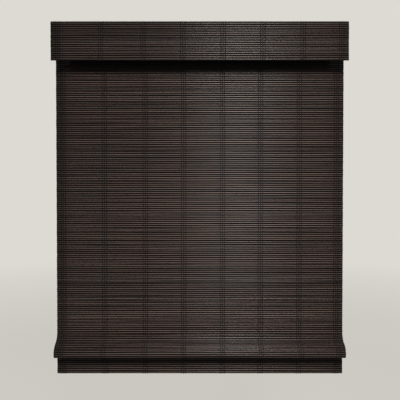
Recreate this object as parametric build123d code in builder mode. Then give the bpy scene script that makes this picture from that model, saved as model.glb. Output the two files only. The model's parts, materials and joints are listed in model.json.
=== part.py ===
from build123d import *
import os
from math import acos, cos, degrees, radians, sin

# A cordless bamboo roman shade, lowered, with its last fold still gathered above the bottom bar.
# X runs along the headrail, -Y faces the room and +Z is up. The origin is the middle of the four
# bracket screws, on the underside of the window head. All sizes are in millimetres.

# Whole shade
shade_width = 914.0
overrun = 10.0
slip_gap = 0.15
running_gap = 0.08

# Bamboo slats, of the mat and of the valance
slat_pitch = 6.8
slat_thickness = 2.0
slat_web = 0.9
web_setback = 0.5
crest_shares = (0.12, 0.88)

# Mat, counted in slats from the top
flat_rows = 143
mat_rows = 179
mat_top_gap = 2.5
belly_radius = 33.0
lip_length = 2.4
turn_radius = 9.5
leg_length = 18.6

# Light gaps between the hanging slats
gap_height = 0.6
gap_margin = 34.0
first_gap_row = 18
gap_count = 100

# Warp threads, in groups of three that bind the slats
thread_column_shares = (0.023, 0.167, 0.309, 0.443, 0.578, 0.711, 0.846, 0.975)
threads_in_group = 3
thread_spacing = 6.8
thread_width = 1.3
thread_thickness = 0.45
thread_gap = 0.1
thread_trim = 25.0

# Valance
valance_rows = 18
valance_top = 4.0
valance_curl_radius = 8.0
valance_curl_angle = 70.0

# Valance batten and the hook and loop tapes
batten_thickness = 5.0
batten_height = 25.0
batten_inset = 5.0
batten_edge = 1.2
tape_thickness = 1.6
tape_height = 16.0
mat_tape_drop = 5.0

# Headrail, an open-topped aluminium channel with lips
rail_depth = 40.0
rail_height = 27.5
rail_wall = 1.2
rail_lip = 8.0
rail_corner = 1.6
cap_plate = 2.0
cap_plug = 9.0
cap_wall = 1.6

# Ceiling brackets
bracket_gauge = 1.5
bracket_length = 40.0
bracket_foot = 4.0
bracket_play = 0.3
bracket_edge = 3.0
bracket_inset = 127.0
screw_spacing = 14.0
screw_hole_radius = 2.25

# Lift shaft, cord spools and their cradles
lift_inset = 197.0
shaft_side = 5.0
shaft_edge = 0.5
shaft_overhang = 40.0
shaft_height = 12.5
shaft_offset = 8.5
journal_radius = 4.8
journal_proud = 1.0
spool_flange_radius = 9.4
spool_flange = 1.2
spool_barrel_radius = 6.9
spool_ramp_radius = 8.1
spool_ramp = 4.0
end_play = 0.3
cradle_length = 46.0
cradle_width = 19.6
cradle_height = 17.0
cradle_wall = 2.5
cradle_base = 2.0

# Cord outlets
outlet_radius = 2.9
outlet_setback = 6.0
grommet_wall = 0.7
grommet_flange = 0.8
grommet_rim = 1.3

# Spring motor
motor_length = 32.0
motor_depth = 36.8
motor_height = 21.3
motor_wall = 1.5
cover_thickness = 1.4
drum_spacing = 16.7
drum_flange = 1.2
output_flange_radius = 8.0
output_core_radius = 5.6
output_coil_radius = 6.9
storage_flange_radius = 8.3
storage_core_radius = 3.6
storage_coil_radius = 7.7
storage_pin_radius = 2.0
spring_gap = 0.4
spring_thickness = 0.6

# Cord rings sewn to the back of the mat
ring_radius = 6.0
ring_wire = 1.5
ring_height = 1.8
ring_rows = 4
ring_spacing_rows = 30
fold_ring_row = 137
tail_ring_drop = 8.0

# Bottom bar
bar_height = 30.0
bar_thickness = 8.0
bar_edge = 1.5
bar_margin = 5.0
bar_cap = 2.0
bar_cap_edge = 0.8

# Places that follow from the sizes above
rail_top = -bracket_gauge
rail_bottom = rail_top - rail_height
rail_floor = rail_bottom + rail_wall
rail_slot = rail_depth - 2 * rail_lip
rail_length = shade_width - 2 * cap_plate
rail_inner_depth = rail_depth - 2 * rail_wall
rail_inner_height = rail_height - 2 * rail_wall
mat_y = rail_depth / 2 + tape_thickness + slat_thickness / 2
mat_back = mat_y + slat_thickness / 2
mat_top = rail_top - mat_top_gap
flat_length = flat_rows * slat_pitch
belly_angle = degrees(acos(1 - 2 * turn_radius / belly_radius))
belly_drop = 2 * belly_radius * sin(radians(belly_angle))
turn_length = 2 * radians(belly_angle) * belly_radius + radians(360) * turn_radius
tail_length = mat_rows * slat_pitch - flat_length - turn_length - lip_length - leg_length
tail_top = mat_top - flat_length - belly_drop - lip_length + leg_length
tail_end = tail_top - tail_length
valance_y = -(rail_depth / 2 + tape_thickness + batten_thickness + slat_thickness / 2)
curl_drop = valance_curl_radius * sin(radians(valance_curl_angle))
curl_setback = valance_curl_radius * (1 - cos(radians(valance_curl_angle)))
valance_curl_end = -valance_top - curl_drop
valance_drop = valance_rows * slat_pitch - radians(valance_curl_angle) * valance_curl_radius
bracket_spacing = shade_width - 2 * bracket_inset
lift_spacing = shade_width / 2 - lift_inset
motor_place = lift_spacing / 2
shaft_z = rail_floor + shaft_height
lift_places = (-lift_spacing, 0, lift_spacing)
outlet_places = [(place, shaft_offset + outlet_setback) for place in lift_places]
motor_top = rail_floor + motor_height
storage_y = shaft_offset - drum_spacing
drum_half = motor_length / 2 - motor_wall - end_play
ring_y = mat_back + ring_radius + slip_gap
thread_inner = slat_thickness / 2 + thread_gap
thread_outer = thread_inner + thread_thickness

os.makedirs("parts", exist_ok=True)


def hang_front(shift, trim=0, stop=0):
    """Draw the mat's line in Y and Z down to the fold's inner leg, moved by shift towards the room."""
    flat = Line((mat_y - shift, mat_top - trim), (mat_y - shift, mat_top - flat_length))
    belly = JernArc(flat @ 1, flat % 1, belly_radius - shift, -belly_angle)
    drop = JernArc(belly @ 1, belly % 1, belly_radius + shift, belly_angle)
    lip = Line(drop @ 1, drop @ 1 + (drop % 1) * lip_length)
    hem = JernArc(lip @ 1, lip % 1, turn_radius + shift, 180)
    leg = Line(hem @ 1, hem @ 1 + (hem % 1) * (leg_length - stop))
    return flat @ 0, leg @ 1


def hang_tail(shift, trim=0):
    """Draw the mat's line in Y and Z below the fold, moved by shift towards the room."""
    tail = Line((mat_y - shift, tail_top - trim), (mat_y - shift, tail_end))
    return tail @ 0, tail @ 1


def hang_thread(shift):
    """Draw a warp thread's line on the room side of the mat, from below the tape to the fold's crown."""
    return hang_front(shift, thread_trim, slat_pitch)


def hang_tail_thread(shift):
    """Draw a warp thread's line on the room side of the tail, from below the fold's crown."""
    return hang_tail(shift, slat_pitch)


def hang_valance(shift):
    """Draw the valance's line in Y and Z, moved by shift towards the room."""
    lean = radians(valance_curl_angle)
    out = Vector(-cos(lean), sin(lean)) * shift
    start = Vector(valance_y + curl_setback, -valance_top) + out
    curl = JernArc(start, (-sin(lean), -cos(lean)), valance_curl_radius + shift, valance_curl_angle)
    drop = Line(curl @ 1, curl @ 1 + (curl % 1) * valance_drop)
    return curl @ 0, drop @ 1


def slat_outline(spine, rows):
    """Outline of slats side by side along a line, with a groove between each two, deeper in front."""
    web = (0, slat_web / 2 - web_setback, slat_web / 2 + web_setback)
    stations = [web] + [(share, slat_thickness / 2, slat_thickness / 2) for share in crest_shares]
    room_side, window_side = [], []
    for row in range(rows + 1):
        for share, front, back in stations if row < rows else stations[:1]:
            along = (row + share) * slat_pitch
            point = spine.position_at(along, position_mode=PositionMode.LENGTH)
            tangent = spine.tangent_at(along, position_mode=PositionMode.LENGTH)
            outward = Vector(tangent.Y, -tangent.X)
            room_side.append(point + outward * front)
            window_side.append(point - outward * back)
    return room_side + window_side[::-1]


def thread_face(hang):
    """Face of one warp thread, lying on the slats' room side along the line that hang draws."""
    with BuildSketch() as face:
        with BuildLine():
            inner_start, inner_end = hang(thread_inner)
            outer_start, outer_end = hang(thread_outer)
            Line(inner_start, outer_start)
            Line(inner_end, outer_end)
        make_face()
    return face.sketch


def thread_places():
    """X of every warp thread: a group of threads, evenly spaced, at each column."""
    columns = [(share - 0.5) * shade_width for share in thread_column_shares]
    steps = [number - (threads_in_group - 1) / 2 for number in range(threads_in_group)]
    return [column + step * thread_spacing for column in columns for step in steps]


# Mat: one wall of slats, flat down to the last fold, which bellies forward and turns under
with BuildLine() as mat_line:
    leg_end = hang_front(0)[1]
    JernArc(leg_end, (0, 1), turn_radius, -180)
    hang_tail(0)
mat_spine = mat_line.wire()
gap_rows = range(first_gap_row, first_gap_row + gap_count)
with BuildPart() as shade_mat:
    with BuildSketch(Plane.YZ):
        with BuildLine():
            Polyline(*slat_outline(mat_spine, mat_rows), close=True)
        make_face()
    extrude(amount=shade_width / 2, both=True)
    with BuildSketch(Plane.XZ.offset(-mat_y)):
        with Locations(*[(0, mat_top - row * slat_pitch) for row in gap_rows]):
            Rectangle(shade_width - 2 * gap_margin, gap_height)
    extrude(amount=slat_thickness, both=True, mode=Mode.SUBTRACT)
shade_mat.part.label = "shade_mat"
export_step(shade_mat.part, "parts/shade_mat.step")

with BuildPart() as mat_threads:
    mat_thread = thread_face(hang_thread)
    tail_thread = thread_face(hang_tail_thread)
    for place in thread_places():
        with BuildSketch(Plane.YZ.offset(place)):
            add(mat_thread)
            add(tail_thread)
    extrude(amount=thread_width / 2, both=True)
mat_threads.part.label = "mat_threads"
export_step(mat_threads.part, "parts/mat_threads.step")

# Valance: a short length of the same matting that curls back over the top of the headrail
with BuildLine() as valance_line:
    hang_valance(0)
valance_spine = valance_line.wire()
with BuildPart() as valance:
    with BuildSketch(Plane.YZ):
        with BuildLine():
            Polyline(*slat_outline(valance_spine, valance_rows), close=True)
        make_face()
    extrude(amount=shade_width / 2, both=True)
valance.part.label = "valance"
export_step(valance.part, "parts/valance.step")

with BuildPart() as valance_threads:
    valance_thread = thread_face(hang_valance)
    for place in thread_places():
        with BuildSketch(Plane.YZ.offset(place)):
            add(valance_thread)
    extrude(amount=thread_width / 2, both=True)
valance_threads.part.label = "valance_threads"
export_step(valance_threads.part, "parts/valance_threads.step")

# Wooden batten that stiffens the valance, with its tape on the front of the headrail
batten_face = -(rail_depth / 2 + tape_thickness)
batten_middle = valance_curl_end - slat_pitch - batten_height / 2
with BuildPart() as valance_batten:
    with BuildSketch(Plane.YZ):
        with Locations((batten_face - batten_thickness / 2, batten_middle)):
            RectangleRounded(batten_thickness, batten_height, batten_edge)
    extrude(amount=shade_width / 2 - batten_inset, both=True)
valance_batten.part.label = "valance_batten"
export_step(valance_batten.part, "parts/valance_batten.step")

valance_tape_z = max(batten_middle, rail_bottom + tape_height / 2 + rail_corner)
with BuildPart() as valance_tape:
    with BuildSketch(Plane.YZ):
        with Locations((batten_face + tape_thickness / 2, valance_tape_z)):
            Rectangle(tape_thickness, tape_height)
    extrude(amount=shade_width / 2 - batten_inset, both=True)
valance_tape.part.label = "valance_tape"
export_step(valance_tape.part, "parts/valance_tape.step")

with BuildPart() as mat_tape:
    with BuildSketch(Plane.YZ):
        with Locations((rail_depth / 2 + tape_thickness / 2, rail_top - mat_tape_drop)):
            Rectangle(tape_thickness, tape_height, align=(Align.CENTER, Align.MAX))
    extrude(amount=shade_width / 2 - batten_inset, both=True)
mat_tape.part.label = "mat_tape"
export_step(mat_tape.part, "parts/mat_tape.step")

# Headrail
with BuildPart() as headrail:
    with BuildSketch(Plane.YZ):
        with Locations((0, rail_top - rail_height / 2)):
            RectangleRounded(rail_depth, rail_height, rail_corner)
            Rectangle(rail_inner_depth, rail_inner_height, mode=Mode.SUBTRACT)
        with Locations((0, rail_top)):
            Rectangle(rail_slot, 2 * rail_wall + overrun, mode=Mode.SUBTRACT)
    extrude(amount=rail_length / 2, both=True)
    with BuildSketch(Plane.XY.offset(rail_bottom)):
        with Locations(*outlet_places):
            Circle(outlet_radius)
    extrude(amount=2 * rail_wall, both=True, mode=Mode.SUBTRACT)
headrail.part.label = "headrail"
export_step(headrail.part, "parts/headrail.step")

for side, name in ((-1, "end_cap_left"), (1, "end_cap_right")):
    with BuildPart() as end_cap:
        with BuildSketch(Plane.YZ.offset(side * rail_length / 2)):
            with Locations((0, rail_top - rail_height / 2)):
                RectangleRounded(rail_depth, rail_height, rail_corner)
        extrude(amount=side * cap_plate)
        with BuildSketch(Plane.YZ.offset(side * rail_length / 2)):
            with Locations((0, rail_top - rail_height / 2)):
                plug = Rectangle(rail_inner_depth - 2 * slip_gap, rail_inner_height - 2 * slip_gap)
            offset(plug, amount=-cap_wall, mode=Mode.SUBTRACT)
        extrude(amount=-side * cap_plug)
    end_cap.part.label = name
    export_step(end_cap.part, f"parts/{name}.step")

# Ceiling brackets: a folded strip whose feet hook under the lips of the headrail
bracket_half = rail_slot / 2 - bracket_play
foot_top = rail_top - rail_wall
for side, name in ((-1, "bracket_left"), (1, "bracket_right")):
    with BuildPart() as bracket:
        with BuildSketch(Plane.YZ.offset(side * bracket_spacing / 2)):
            with BuildLine():
                Polyline(
                    (0, 0),
                    (bracket_half, 0),
                    (bracket_half, foot_top),
                    (bracket_half + bracket_foot, foot_top),
                    (bracket_half + bracket_foot, foot_top - bracket_gauge),
                    (bracket_half - bracket_gauge, foot_top - bracket_gauge),
                    (bracket_half - bracket_gauge, -bracket_gauge),
                    (0, -bracket_gauge),
                )
                mirror(about=Plane.YZ)
            make_face()
        extrude(amount=bracket_length / 2, both=True)
        feet = bracket.edges().filter_by(Axis.Z).group_by(SortBy.LENGTH)[0]
        fillet([edge for edge in feet if abs(edge.center().Y) > bracket_half], bracket_edge)
        with BuildSketch(Plane.XY):
            with Locations((side * bracket_spacing / 2, 0)):
                with GridLocations(0, screw_spacing, 1, 2):
                    Circle(screw_hole_radius)
        extrude(amount=-2 * bracket_gauge, mode=Mode.SUBTRACT)
    bracket.part.label = name
    export_step(bracket.part, f"parts/{name}.step")

# Lift shaft, a square rod through the three spools and the spring motor
with BuildPart() as lift_shaft:
    with BuildSketch(Plane.YZ):
        with Locations((shaft_offset, shaft_z)):
            RectangleRounded(shaft_side, shaft_side, shaft_edge)
    extrude(amount=lift_spacing + shaft_overhang, both=True)
lift_shaft.part.label = "lift_shaft"
export_step(lift_shaft.part, "parts/lift_shaft.step")


def turned_piece(place, axis_y, profile, bore):
    """A piece turned about the line along X through axis_y, from (X, radius) steps of its profile."""
    axis_plane = Plane((place, axis_y, shaft_z), x_dir=(1, 0, 0), z_dir=(0, -1, 0))
    ends = [(profile[0][0], 0), *profile, (profile[-1][0], 0)]
    with BuildPart() as piece:
        with BuildSketch(axis_plane):
            with BuildLine():
                Polyline(*ends, close=True)
            make_face()
        revolve(axis=Axis((place, axis_y, shaft_z), (1, 0, 0)))
        with BuildSketch(Plane.YZ.offset(place)):
            with Locations((axis_y, shaft_z)):
                add(bore)
        extrude(amount=motor_length + cradle_length, both=True, mode=Mode.SUBTRACT)
    return piece.part


with BuildSketch() as shaft_bore:
    Rectangle(shaft_side + 2 * running_gap, shaft_side + 2 * running_gap)
with BuildSketch() as pin_bore:
    Circle(storage_pin_radius + running_gap)

# Spools: a barrel between two flanges, with a ramp that pushes the turns of cord along it
spool_half = cradle_length / 2 - cradle_wall - end_play
spool_end = cradle_length / 2 + journal_proud
spool_profile = [
    (-spool_end, journal_radius),
    (-spool_half, journal_radius),
    (-spool_half, spool_flange_radius),
    (spool_flange - spool_half, spool_flange_radius),
    (spool_flange - spool_half, spool_ramp_radius),
    (spool_flange + spool_ramp - spool_half, spool_barrel_radius),
    (spool_half - spool_flange, spool_barrel_radius),
    (spool_half - spool_flange, spool_flange_radius),
    (spool_half, spool_flange_radius),
    (spool_half, journal_radius),
    (spool_end, journal_radius),
]
for place, side_name in zip(lift_places, ("left", "center", "right")):
    spool = turned_piece(place, shaft_offset, spool_profile, shaft_bore.sketch)
    spool.label = f"spool_{side_name}"
    export_step(spool, f"parts/spool_{side_name}.step")

    # Cradle: two end plates with open slots for the spool's journals, on a base with the cord outlet
    with BuildPart() as cradle:
        with BuildSketch(Plane.YZ.offset(place)):
            with Locations((shaft_offset, rail_floor)):
                Rectangle(cradle_width, cradle_height, align=(Align.CENTER, Align.MIN))
            with Locations((shaft_offset, shaft_z)):
                Circle(journal_radius + running_gap, mode=Mode.SUBTRACT)
                Rectangle(
                    2 * (journal_radius + running_gap),
                    cradle_height,
                    align=(Align.CENTER, Align.MIN),
                    mode=Mode.SUBTRACT,
                )
        extrude(amount=cradle_length / 2, both=True)
        with BuildSketch(Plane.YZ.offset(place)):
            with Locations((shaft_offset, rail_floor + cradle_base)):
                Rectangle(cradle_width + overrun, cradle_height, align=(Align.CENTER, Align.MIN))
        extrude(amount=cradle_length / 2 - cradle_wall, both=True, mode=Mode.SUBTRACT)
        with BuildSketch(Plane.XY.offset(rail_floor)):
            with Locations((place, shaft_offset + outlet_setback)):
                Circle(outlet_radius)
        extrude(amount=2 * cradle_base, both=True, mode=Mode.SUBTRACT)
    cradle.part.label = f"spool_cradle_{side_name}"
    export_step(cradle.part, f"parts/spool_cradle_{side_name}.step")

# Cord outlets: a flanged eyelet up through the headrail and the cradle at each spool
with BuildPart() as cord_grommets:
    with BuildSketch(Plane.XY.offset(rail_bottom)):
        with Locations(*outlet_places):
            Circle(outlet_radius + grommet_rim)
    extrude(amount=-grommet_flange)
    with BuildSketch(Plane.XY.offset(rail_bottom)):
        with Locations(*outlet_places):
            Circle(outlet_radius - slip_gap)
    extrude(amount=rail_wall + cradle_base)
    with BuildSketch(Plane.XY.offset(rail_bottom)):
        with Locations(*outlet_places):
            Circle(outlet_radius - slip_gap - grommet_wall)
    extrude(amount=overrun, both=True, mode=Mode.SUBTRACT)
cord_grommets.part.label = "cord_grommets"
export_step(cord_grommets.part, "parts/cord_grommets.step")

# Spring motor: a case with a storage drum on a pin and an output drum on the shaft
with BuildPart() as motor_case:
    with BuildSketch(Plane.YZ.offset(motor_place)):
        with Locations((0, rail_floor)):
            Rectangle(motor_depth, motor_height, align=(Align.CENTER, Align.MIN))
        with Locations((shaft_offset, shaft_z)):
            Circle(journal_radius + running_gap, mode=Mode.SUBTRACT)
            Rectangle(
                2 * (journal_radius + running_gap),
                motor_height,
                align=(Align.CENTER, Align.MIN),
                mode=Mode.SUBTRACT,
            )
        with Locations((storage_y, shaft_z)):
            Circle(storage_pin_radius + running_gap, mode=Mode.SUBTRACT)
    extrude(amount=motor_length / 2, both=True)
    with BuildSketch(Plane.YZ.offset(motor_place)):
        with Locations((0, rail_floor + motor_wall)):
            Rectangle(motor_depth - 2 * motor_wall, motor_height, align=(Align.CENTER, Align.MIN))
    extrude(amount=motor_length / 2 - motor_wall, both=True, mode=Mode.SUBTRACT)
motor_case.part.label = "motor_case"
export_step(motor_case.part, "parts/motor_case.step")

# Cover: a lid with two tongues that close the slots above the output drum's journals
tongue_width = 2 * (journal_radius - slip_gap)
tongue_depth = motor_top - shaft_z - journal_radius - end_play
with BuildPart() as motor_cover:
    with BuildSketch(Plane.XY.offset(motor_top)):
        with Locations((motor_place, 0)):
            Rectangle(motor_length, motor_depth)
    extrude(amount=cover_thickness)
    with BuildSketch(Plane.XY.offset(motor_top)):
        with Locations((motor_place, shaft_offset)):
            with GridLocations(motor_length - motor_wall, 0, 2, 1):
                Rectangle(motor_wall, tongue_width)
    extrude(amount=-tongue_depth)
motor_cover.part.label = "motor_cover"
export_step(motor_cover.part, "parts/motor_cover.step")

drum_end = motor_length / 2 + journal_proud
output_profile = [
    (-drum_end, journal_radius),
    (-drum_half, journal_radius),
    (-drum_half, output_flange_radius),
    (drum_flange - drum_half, output_flange_radius),
    (drum_flange - drum_half, output_core_radius),
    (drum_half - drum_flange, output_core_radius),
    (drum_half - drum_flange, output_flange_radius),
    (drum_half, output_flange_radius),
    (drum_half, journal_radius),
    (drum_end, journal_radius),
]
output_drum = turned_piece(motor_place, shaft_offset, output_profile, shaft_bore.sketch)
output_drum.label = "output_drum"
export_step(output_drum, "parts/output_drum.step")

storage_profile = [
    (-drum_half, storage_flange_radius),
    (drum_flange - drum_half, storage_flange_radius),
    (drum_flange - drum_half, storage_core_radius),
    (drum_half - drum_flange, storage_core_radius),
    (drum_half - drum_flange, storage_flange_radius),
    (drum_half, storage_flange_radius),
]
storage_drum = turned_piece(motor_place, storage_y, storage_profile, pin_bore.sketch)
storage_drum.label = "storage_drum"
export_step(storage_drum, "parts/storage_drum.step")

with BuildPart() as storage_pin:
    with BuildSketch(Plane.YZ.offset(motor_place)):
        with Locations((storage_y, shaft_z)):
            Circle(storage_pin_radius)
    extrude(amount=motor_length / 2, both=True)
storage_pin.part.label = "storage_pin"
export_step(storage_pin.part, "parts/storage_pin.step")

# Flat spring: wound on the storage drum and crossing over to the output drum
storage_wrap = storage_coil_radius - spring_thickness / 2
output_wrap = output_coil_radius - spring_thickness / 2
crossing = (storage_wrap + output_wrap) / drum_spacing
lean = Vector(crossing, (1 - crossing**2) ** 0.5)
with BuildPart() as motor_spring:
    with BuildSketch(Plane.YZ.offset(motor_place)):
        with Locations((storage_y, shaft_z)):
            Circle(storage_coil_radius)
            Circle(storage_core_radius + spring_gap, mode=Mode.SUBTRACT)
        with Locations((shaft_offset, shaft_z)):
            Circle(output_coil_radius)
            Circle(output_core_radius + spring_gap, mode=Mode.SUBTRACT)
        with BuildLine():
            strip = Line(
                Vector(storage_y, shaft_z) + lean * storage_wrap,
                Vector(shaft_offset, shaft_z) - lean * output_wrap,
            )
        trace(strip, line_width=spring_thickness)
    extrude(amount=drum_half - drum_flange - spring_gap, both=True)
motor_spring.part.label = "motor_spring"
export_step(motor_spring.part, "parts/motor_spring.step")


def sewn_rings(heights):
    """Cord rings behind the mat: one at each lift line, at each of the heights."""
    with BuildPart() as rings:
        for height in heights:
            with BuildSketch(Plane.XY.offset(height)):
                with Locations(*[(place, ring_y) for place in lift_places]):
                    Circle(ring_radius)
                    Circle(ring_radius - ring_wire, mode=Mode.SUBTRACT)
            extrude(amount=ring_height / 2, both=True)
    return rings.part


for number in range(1, ring_rows + 1):
    slats_down = fold_ring_row - number * ring_spacing_rows
    ring_row = sewn_rings([mat_top - slats_down * slat_pitch])
    ring_row.label = f"ring_row_{number}"
    export_step(ring_row, f"parts/ring_row_{number}.step")

# The lowest rings gather the last fold between its start and the top of the tail
fold_rings = sewn_rings([mat_top - fold_ring_row * slat_pitch, tail_top - tail_ring_drop])
fold_rings.label = "fold_rings"
export_step(fold_rings, "parts/fold_rings.step")

# Bottom bar, on the back of the tail, with an end cap at each end
bar_half = shade_width / 2 - bar_margin - bar_cap
bar_middle = (mat_back + bar_thickness / 2, tail_end + bar_margin + bar_height / 2)
with BuildPart() as bottom_bar:
    with BuildSketch(Plane.YZ):
        with Locations(bar_middle):
            RectangleRounded(bar_thickness, bar_height, bar_edge)
    extrude(amount=bar_half, both=True)
bottom_bar.part.label = "bottom_bar"
export_step(bottom_bar.part, "parts/bottom_bar.step")

for side, name in ((-1, "bar_cap_left"), (1, "bar_cap_right")):
    with BuildPart() as cap:
        with BuildSketch(Plane.YZ.offset(side * bar_half)):
            with Locations(bar_middle):
                RectangleRounded(bar_thickness, bar_height, bar_edge)
        extrude(amount=side * bar_cap)
        outer_face = cap.faces().sort_by(Axis.X)[-1 if side > 0 else 0]
        chamfer(outer_face.edges(), bar_cap_edge)
    cap.part.label = name
    export_step(cap.part, f"parts/{name}.step")
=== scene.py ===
# %% [markdown]
# A bamboo roman shade is a curtain made of thin wooden slats. Cotton threads run down it and
# bind the slats to each other, so the whole mat can fold. This lesson dresses the packed model
# of the shade. The model is loaded once and never moved: every new piece is worked out in its
# frame, in metres, with X along the headrail, -Y towards the room and +Z up.

# %% Load the frame
import json
import math

import bpy
import numpy as np
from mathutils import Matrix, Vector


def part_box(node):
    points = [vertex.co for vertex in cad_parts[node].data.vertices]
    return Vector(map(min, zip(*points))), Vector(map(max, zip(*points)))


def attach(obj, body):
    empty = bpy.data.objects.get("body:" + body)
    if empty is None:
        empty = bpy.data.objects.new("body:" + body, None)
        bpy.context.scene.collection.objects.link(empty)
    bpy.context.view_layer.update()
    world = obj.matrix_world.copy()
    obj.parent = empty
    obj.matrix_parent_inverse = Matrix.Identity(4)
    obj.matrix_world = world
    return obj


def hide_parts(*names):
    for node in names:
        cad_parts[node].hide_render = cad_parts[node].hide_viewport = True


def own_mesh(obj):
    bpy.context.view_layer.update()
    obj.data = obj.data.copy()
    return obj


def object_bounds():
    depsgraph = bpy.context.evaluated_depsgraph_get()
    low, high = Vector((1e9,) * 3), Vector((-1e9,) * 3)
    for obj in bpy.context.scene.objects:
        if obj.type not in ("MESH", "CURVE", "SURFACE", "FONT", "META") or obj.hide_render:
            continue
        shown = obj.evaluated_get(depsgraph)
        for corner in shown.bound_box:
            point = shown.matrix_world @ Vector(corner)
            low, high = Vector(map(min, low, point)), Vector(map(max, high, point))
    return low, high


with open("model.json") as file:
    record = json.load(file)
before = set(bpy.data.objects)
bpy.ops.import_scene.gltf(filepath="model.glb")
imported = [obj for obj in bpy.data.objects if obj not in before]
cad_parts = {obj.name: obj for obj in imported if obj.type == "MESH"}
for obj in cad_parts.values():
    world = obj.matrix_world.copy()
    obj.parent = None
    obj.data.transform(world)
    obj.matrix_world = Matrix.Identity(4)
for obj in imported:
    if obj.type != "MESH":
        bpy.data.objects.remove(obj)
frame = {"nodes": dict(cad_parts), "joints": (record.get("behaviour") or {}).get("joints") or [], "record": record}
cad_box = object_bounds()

RANDOM_SEED = 17
draw = np.random.default_rng(RANDOM_SEED)
print("frame", len(frame["nodes"]), "nodes", [list(corner) for corner in cad_box])

# %% [markdown]
# Seen from its end, the mat is one long bent line: flat, then a belly towards the room, a tight
# hem, a leg that climbs back behind the belly, a crown and a straight tail. It could be drawn
# with curve objects, but a line that turns evenly along each stretch needs only the stretch
# lengths and turns. The lean from straight down is the sum of the turns so far, and the place is
# the sum of small steps in the direction of the lean.

# %% A line that bends evenly
LINE_SAMPLES = 30001


def bent_line(start, lean, stretches):
    """Line in Y and Z from (length, turn) stretches. The lean from straight down changes evenly
    along each stretch, and Y and Z are the running sums of -sin(lean) and -cos(lean)."""
    lengths, turns = np.array(stretches).T
    ends = np.concatenate(([0], np.cumsum(lengths)))
    leans = lean + np.concatenate(([0], np.cumsum(turns)))
    along = np.linspace(0, ends[-1], LINE_SAMPLES)
    lean_along = np.interp(along, ends, leans)
    slopes = -np.stack([np.sin(lean_along), np.cos(lean_along)])
    steps = (slopes[:, 1:] + slopes[:, :-1]) / 2 * along[1]
    places = np.concatenate([np.zeros((2, 1)), np.cumsum(steps, axis=1)], axis=1)
    return along, start[0] + places[0], start[1] + places[1], lean_along


def on_line(line, along):
    """Y, Z and lean at distances along a line, read between its samples."""
    return [np.interp(along, line[0], values) for values in line[1:]]


quarter = bent_line((0, 0), 0, [(math.pi / 2, math.pi / 2)])
print("a quarter turn of 1 m radius ends at", round(quarter[1][-1], 6), round(quarter[2][-1], 6))

# %% [markdown]
# The mat is 179 slats long, each about a quarter of an inch wide. Its radii and its number of
# flat slats put the belly, the hem and the tail on the rows they have in the photo, and the tail
# takes what is left of the length. The bends could be read off the packed mesh, but a few named
# sizes are easier to check and to change. Only the mat's width and place come from the model.

# %% Line of the mat
SLAT_PITCH = 0.0068
SLAT_THICKNESS = 0.002
MAT_ROWS = 179
FLAT_ROWS = 143
BELLY_RADIUS = 0.033
LIP_LENGTH = 0.0024
TURN_RADIUS = 0.0095
LEG_LENGTH = 0.0186

mat_high = np.array(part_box("shade_mat")[1])
half_width = mat_high[0]
mat_start = (mat_high[1] - SLAT_THICKNESS / 2, mat_high[2])
belly_turn = math.acos(1 - 2 * TURN_RADIUS / BELLY_RADIUS)
belly_length = belly_turn * BELLY_RADIUS
turn_length = math.pi * TURN_RADIUS
fold_stretches = [
    (FLAT_ROWS * SLAT_PITCH, 0),
    (belly_length, belly_turn),
    (belly_length, -belly_turn),
    (LIP_LENGTH, 0),
    (turn_length, -math.pi),
    (LEG_LENGTH, 0),
    (turn_length, math.pi),
]
tail_length = MAT_ROWS * SLAT_PITCH - sum(length for length, turn in fold_stretches)
mat_line = bent_line(mat_start, 0, fold_stretches + [(tail_length, 0)])
print("mat ends at z", mat_line[2][-1], "with a tail of", round(tail_length, 4))

# %% [markdown]
# The valance is a short length of the same matting. It hangs in front of the headrail to hide
# it, and its upper edge curls back over a wooden batten. A flat strip would do for the photo,
# but from above it would show a gap, so the line starts with the curl and goes on straight down.

# %% Line of the valance
VALANCE_ROWS = 18
CURL_RADIUS = 0.008
CURL_ANGLE = math.radians(70)

valance_low, valance_high = (np.array(corner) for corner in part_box("valance"))
valance_y = valance_low[1] + SLAT_THICKNESS / 2
curl_length = CURL_ANGLE * CURL_RADIUS
curl_back = CURL_RADIUS * (1 - math.cos(CURL_ANGLE))
curl_top = valance_high[2] - SLAT_THICKNESS / 2 * math.sin(CURL_ANGLE)
valance_stretches = [(curl_length, -CURL_ANGLE), (VALANCE_ROWS * SLAT_PITCH - curl_length, 0)]
valance_line = bent_line((valance_y + curl_back, curl_top), CURL_ANGLE, valance_stretches)
print("valance ends at z", valance_line[2][-1])

# %% [markdown]
# All pieces below are grids of points. One helper turns a grid and its faces into a mesh in a
# few array calls, which is far quicker than adding points one at a time. Numbers that the finish
# needs, such as a slat's own tone, are stored beside the points as attributes.

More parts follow.
